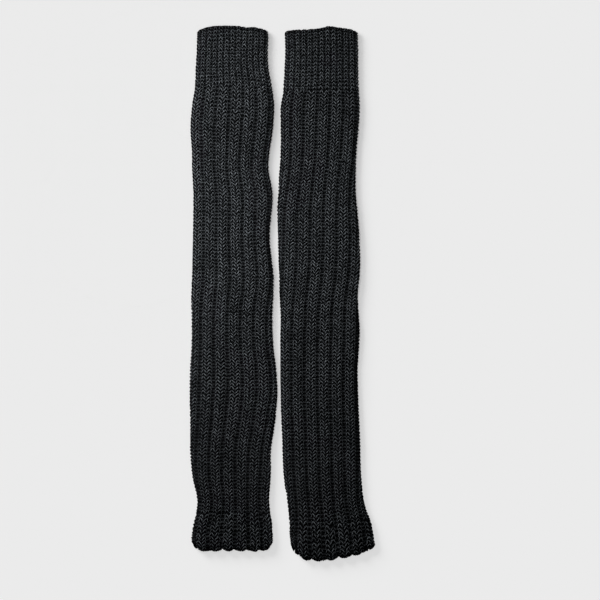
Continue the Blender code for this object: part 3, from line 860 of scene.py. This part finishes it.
def yarn_look():
    """How a plied yarn varies: its tone, the height of its plies and fibres, its roughness."""
    tree = bpy.data.node_groups.new("yarn_look", "ShaderNodeTree")
    for title in LOOK_INPUTS:
        tree.interface.new_socket(title, in_out="INPUT", socket_type="NodeSocketFloat")
    for title in LOOK_OUTPUTS:
        tree.interface.new_socket(title, in_out="OUTPUT", socket_type="NodeSocketFloat")
    given = tree.nodes.new("NodeGroupInput").outputs
    place = tree.nodes.new("ShaderNodeTexCoord").outputs["Object"]

    def noise(scale, detail):
        """A noise through the yarn, from 0 to 1."""
        inputs = {"Vector": place, "Scale": scale, "Detail": detail}
        return made_by(tree, "ShaderNodeTexNoise", inputs)

    plies = math_node(tree, "MULTIPLY", given["Round"], PLIES)
    turns = math_node(tree, "MULTIPLY", given["Along"], PLIES_ALONG)
    twist = math_node(tree, "ADD", math_node(tree, "ADD", plies, turns), given["Shade"])
    wave = math_node(tree, "SINE", math_node(tree, "MULTIPLY", twist, 2 * math.pi))
    ply = math_node(tree, "MULTIPLY_ADD", wave, 0.5, 0.5)
    fibre, mottle, patch = noise(FIBRES, 2.0), noise(MOTTLES, 1.0), noise(PATCHES, 1.0)

    # The tone rises with how far the yarn stands up: painted shade in its gaps and hollows, painted
    # highlight on its crests
    inputs = {
        "Value": given["Raised"],
        "From Min": given["Dark Below"],
        "From Max": given["Light Above"],
    }
    tone = made_by(tree, "ShaderNodeMapRange", inputs, interpolation_type="SMOOTHSTEP")
    # How much each adds to the tone from 0 to 1, and the tone where it is 0
    for value, share, low in (
        (given["Shade"], 0.70, 0.65),
        (ply, 0.20, 0.80),
        (fibre, 0.70, 0.65),
        (mottle, 3.10, -0.96),
        (patch, 0.50, 0.75),
    ):
        tone = math_node(tree, "MULTIPLY", tone, math_node(tree, "MULTIPLY_ADD", value, share, low))
    high = math_node(tree, "MULTIPLY_ADD", fibre, 0.5, ply)
    rough = math_node(tree, "MULTIPLY_ADD", fibre, ROUGH_VARIES, YARN_ROUGH)
    output = tree.nodes.new("NodeGroupOutput")
    for title, value in zip(LOOK_OUTPUTS, (tone, high, rough)):
        tree.links.new(value, output.inputs[title])
    return tree


YARN_LOOK = yarn_look()


def knit_finish(name, deep, light, dark_below, light_above):
    """Soft dull yarn, painted lighter where it stands up and darker in its hollows: painted
    highlight and painted shade.
    """
    material = bpy.data.materials.new(name)
    material.use_nodes = True
    tree = material.node_tree
    shader = tree.nodes["Principled BSDF"]
    look = node(tree, "ShaderNodeGroup", node_tree=YARN_LOOK)
    look.inputs["Dark Below"].default_value = dark_below
    look.inputs["Light Above"].default_value = light_above
    for title in LOOK_FIELDS:
        found = node(tree, "ShaderNodeAttribute", attribute_name=title.lower())
        tree.links.new(found.outputs["Fac"], look.inputs[title])
    mix = node(tree, "ShaderNodeMix", data_type="RGBA")
    colours = by_identifier(mix.inputs)
    colours["A_Color"].default_value = (*deep, 1.0)
    colours["B_Color"].default_value = (*light, 1.0)
    tree.links.new(look.outputs["Tone"], colours["Factor_Float"])
    relief = {"Height": look.outputs["Height"], "Distance": PLY_DEPTH * MM}
    bump = made_by(tree, "ShaderNodeBump", relief)
    tree.links.new(by_identifier(mix.outputs)["Result_Color"], shader.inputs["Base Color"])
    tree.links.new(look.outputs["Roughness"], shader.inputs["Roughness"])
    tree.links.new(bump, shader.inputs["Normal"])
    shader.inputs["Specular IOR Level"].default_value = YARN_SHINE
    return material


# The yarn's colour deep in its gaps and hollows, a painted shade
DEEP_YARN = (0.0012, 0.0013, 0.0015)
# Its colour where it stands up, a painted highlight; the hem's is painted lighter to make up for
# the lamps' light falling off towards it, and the cuff's is a touch darker
LIGHT_YARN = {
    "cuff": (0.082, 0.090, 0.097),
    "leg": (0.083, 0.091, 0.098),
    "hem": (0.098, 0.107, 0.115),
}
# Between how low and how high a yarn goes from its deep, painted-shade colour to its light,
# painted-highlight colour. The ground cloth has no height of its own, so it stays near the painted
# shade.
KNIT_RISE, PURL_RISE, GROUND_RISE = (0.53, 1.10), (0.0, 1.75), (-0.3, 3.0)
KNIT_YARN, PURL_YARN, GROUND_YARN = (
    {
        part: knit_finish(f"{part}_{kind}", DEEP_YARN, light, *rise)
        for part, light in LIGHT_YARN.items()
    }
    for kind, rise in (("knit", KNIT_RISE), ("purl", PURL_RISE), ("ground", GROUND_RISE))
)


# ---------------------------------------------------------------- the pair


def finish_piece(piece, node_name):
    """What a piece rides on, and the solid that it stands for."""
    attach(piece, "root")
    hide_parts(node_name)


def charts_of(part, wale, phase):
    """The charts of a part's knit: what each is called, the chart, its strand and its yarn."""
    if part == "cuff":
        between_ribs = wale._replace(first=BACK - WALE / 2)
        return (
            ("stitches", wale, CUFF_STRAND, KNIT_YARN),
            ("purls", between_ribs, NARROW_PURL, PURL_YARN),
        )
    valleys = Chart(phase - PURLED_SIDE, 1.0, PURLED_VALLEYS, wale.courses, 2 * wale.cell_width)
    purls = ("purls", valleys, BROAD_PURL, PURL_YARN)
    if part == "hem":
        return (("stitches", wale, FRONT_STRAND, KNIT_YARN), purls)
    front = wale._replace(first=-FRONT_SIDE, cells=FRONT_WALES)
    back = wale._replace(first=FRONT_SIDE, cells=WALES_ROUND - FRONT_WALES)
    return (
        ("front_stitches", front, FRONT_STRAND, KNIT_YARN),
        ("back_stitches", back, BACK_STRAND, KNIT_YARN),
        purls,
    )


def open_lip(node_name, part, tube, ribs, wale, seed):
    """The cast-on lip of a cuff, or the cast-off lip of a hem."""
    cuff_edge, hem_edge = tube["sections"]["station"][[0, -1]]
    words, edge = ("cast_on", cuff_edge) if part == "cuff" else ("cast_off", hem_edge)
    chart = wale._replace(courses=EDGE_COURSES)
    return knit_on(
        f"{node_name}_{words}",
        edge_surface(tube, ribs, edge, chart),
        chart,
        course_height=EDGE_COURSE,
        gather=0.0,
        looseness=LIP_LOOSENESS,
        strand=EDGE_STRAND,
        yarn=KNIT_YARN[part],
        seed=seed,
    )


def leg_warmer(side, line, sections, ends, waves, folds, seams, courses, phase, first_seed):
    """One leg warmer. "courses" are those of its cuff, its leg and its hem."""
    tube = {
        "line": line,
        "sections": table(SECTION_COLUMNS, sections),
        "ends": table(END_COLUMNS, ends),
        "waves": table(WAVE_COLUMNS, waves),
        "folds": table(FOLD_COLUMNS, folds),
        "phase": phase,
    }
    cuff_edge, hem_edge = tube["sections"]["station"][[0, -1]]
    cuff_seam, hem_seam = seams
    gap = SEAM_GAP / 2
    seeds = count(first_seed, SEED_STEP)
    towards_crest = 2 * GATHER * (1 if phase == 0 else -1)
    # Each piece's ribs, ends, a wale's width, and how loosely it is knitted
    parts = (
        ("cuff", CUFF_RIBS, cuff_edge, cuff_seam - gap, CUFF_WALE, CUFF_LOOSENESS),
        ("leg", LEG_RIBS, cuff_seam + gap, hem_seam - gap, LEG_WALE, LEG_LOOSENESS),
        ("hem", HEM_RIBS, hem_seam + gap, hem_edge, LEG_WALE, HEM_LOOSENESS),
    )
    for (part, ribs, start, end, wale_width, looseness), part_courses in zip(parts, courses):
        node_name = f"{side}_{part}"
        cloth = ground_cloth(node_name + "_cloth", tube, ribs, start, end, GROUND_YARN[part])
        wale = Chart(BACK, WALE, WALES_ROUND, part_courses, wale_width)
        stitches = [
            knit_on(
                f"{node_name}_{words}",
                guide_surface(tube, ribs, start, end, chart),
                chart,
                course_height=(end - start) / part_courses,
                gather=0.0 if part == "cuff" or words == "purls" else towards_crest,
                looseness=looseness,
                strand=strand,
                yarn=yarn[part],
                seed=next(seeds),
            )
            for words, chart, strand, yarn in charts_of(part, wale, phase)
        ]
        if part != "leg":
            stitches.append(open_lip(node_name, part, tube, ribs, wale, next(seeds)))
        for piece in [cloth] + stitches:
            finish_piece(piece, node_name)


leg_warmer(
    "left",
    line=-62.0,
    sections=LEFT_SECTIONS,
    ends=LEFT_ENDS,
    waves=LEFT_WAVES,
    folds=LEFT_FOLDS,
    seams=(76.0, 609.0),
    courses=(17, 125, 10),
    phase=0.0,
    first_seed=17,
)
leg_warmer(
    "right",
    line=47.0,
    sections=RIGHT_SECTIONS,
    ends=RIGHT_ENDS,
    waves=RIGHT_WAVES,
    folds=RIGHT_FOLDS,
    seams=(80.0, 621.0),
    courses=(18, 125, 8),
    phase=0.5,
    first_seed=117,
)


# ---------------------------------------------------------------- floor, light and camera

GROUND_LEVEL = 0.831  # how bright the floor looks
FLOOR_COLOUR = 0.285
DOME = 0.12  # how bright the sky is
WHITE = (1.0, 1.0, 1.0, 1.0)

# The lights, the floor and the view are in metres, and the power in watts.
Softbox = namedtuple("Softbox", ("name", "place", "aim", "size", "power", "spread"))
SOFTBOXES = (
    Softbox("key", Vector((-0.9, 0.79, 0.68)), Vector((0.0, 0.1, 0.0)), 0.7, 6.6, math.radians(72)),
    Softbox(
        "top", Vector((-0.22, 0.12, 0.75)), Vector((-0.19, 0.1, 0.0)), 0.4, 1.26, math.radians(60)
    ),
)
SOFTBOX_GRID = 8  # a softbox's light is summed over this many patches each way
LEAST_FACING = 1e-6  # of a spot of the floor to a softbox
FLOOR_NEAR = 1.2  # the floor's lines of points lie close together out to here,
FLOOR_STEPS = 80  # and are this many,
FLOOR_FAR = np.array([1.5, 3.0, 9.0])  # and then they lie at these distances


def softbox_turn(box):
    """How a softbox is turned."""
    return (box.aim - box.place).to_track_quat("-Z", "Y")


def light_on_floor(box, spots):
    """How much of a softbox's light falls on spots of the floor."""
    turn = softbox_turn(box)
    beam = np.array(turn @ Vector((0, 0, -1)))
    half_spread = box.spread / 2
    reach = math.tan(half_spread)
    total = np.zeros(len(spots))
    offsets = ((np.arange(SOFTBOX_GRID) + 0.5) / SOFTBOX_GRID - 0.5) * box.size
    for along in offsets:
        for upward in offsets:
            patch = np.array(box.place + turn @ Vector((along, upward, 0)))
            ray = spots - patch
            far = np.linalg.norm(ray, axis=1)
            facing = np.maximum(ray @ beam / far, LEAST_FACING)
            off_axis = np.sqrt(np.maximum(1 - facing**2, 0)) / facing
            spread = np.maximum(reach - off_axis, 0) / (reach - half_spread)
            total += spread * facing * patch[2] / far**3
    return total * box.power / (math.pi * SOFTBOX_GRID) ** 2


def pale_floor():
    """A pale floor that glows a little where the lights fall off, so that it looks even."""
    near = np.linspace(-FLOOR_NEAR, FLOOR_NEAR, FLOOR_STEPS)
    line = np.concatenate([-FLOOR_FAR[::-1], near, FLOOR_FAR])
    x, y = (axis.ravel() for axis in np.meshgrid(line, line))
    spots = np.column_stack([x, y, 0 * x])
    made = new_mesh("floor", spots / MM, grid_faces(len(line), len(line)))
    glow = made.data.attributes.new("glow", "FLOAT", "POINT")
    lit = FLOOR_COLOUR * (DOME + sum(light_on_floor(box, spots) for box in SOFTBOXES))
    glow.data.foreach_set("value", np.maximum(GROUND_LEVEL - lit, 0.0))
    material = bpy.data.materials.new("pale_floor")
    material.use_nodes = True
    tree = material.node_tree
    shader = tree.nodes["Principled BSDF"]
    shader.inputs["Base Color"].default_value = (FLOOR_COLOUR, FLOOR_COLOUR, FLOOR_COLOUR, 1.0)
    shader.inputs["Roughness"].default_value = 1.0
    shader.inputs["Specular IOR Level"].default_value = 0.0
    shader.inputs["Emission Color"].default_value = WHITE
    found = node(tree, "ShaderNodeAttribute", attribute_name="glow")
    tree.links.new(found.outputs["Fac"], shader.inputs["Emission Strength"])
    made.data.materials.append(material)
    return made


def studio_sky():
    """A dim even sky, which looks as bright as the floor."""
    world = bpy.data.worlds.new("studio")
    world.use_nodes = True
    tree = world.node_tree
    sky = tree.nodes["Background"].inputs
    sky["Color"].default_value = WHITE
    seen = node(tree, "ShaderNodeLightPath").outputs["Is Camera Ray"]
    inputs = {"Value": seen, "To Min": DOME, "To Max": GROUND_LEVEL}
    tree.links.new(made_by(tree, "ShaderNodeMapRange", inputs), sky["Strength"])
    return world


def softbox_light(box):
    """A softbox in the scene."""
    data = bpy.data.lights.new(box.name + "_softbox", "AREA")
    data.size = box.size
    data.energy = box.power
    data.spread = box.spread
    light = bpy.data.objects.new(box.name + "_softbox", data)
    light.location = box.place
    light.rotation_euler = softbox_turn(box).to_euler()
    light.visible_camera = False
    bpy.context.scene.collection.objects.link(light)


LENS = 120.0  # in millimetres
VIEW_WIDTH = 0.750
VIEW_MIDDLE = (0.0225, -0.0081, 0.008)


def camera_from_above():
    """The camera, straight over the pair."""
    data = bpy.data.cameras.new("camera")
    data.lens = LENS
    camera = bpy.data.objects.new("camera", data)
    x, y, z = VIEW_MIDDLE
    camera.location = (x, y, z + VIEW_WIDTH * LENS / data.sensor_width)
    bpy.context.scene.collection.objects.link(camera)
    return camera


pale_floor()
for softbox in SOFTBOXES:
    softbox_light(softbox)
scene = bpy.context.scene
scene.world = studio_sky()
scene.camera = camera_from_above()
scene.view_settings.view_transform = "Standard"
scene.cycles.denoising_prefilter = "NONE"  # the fine stitches stay crisp
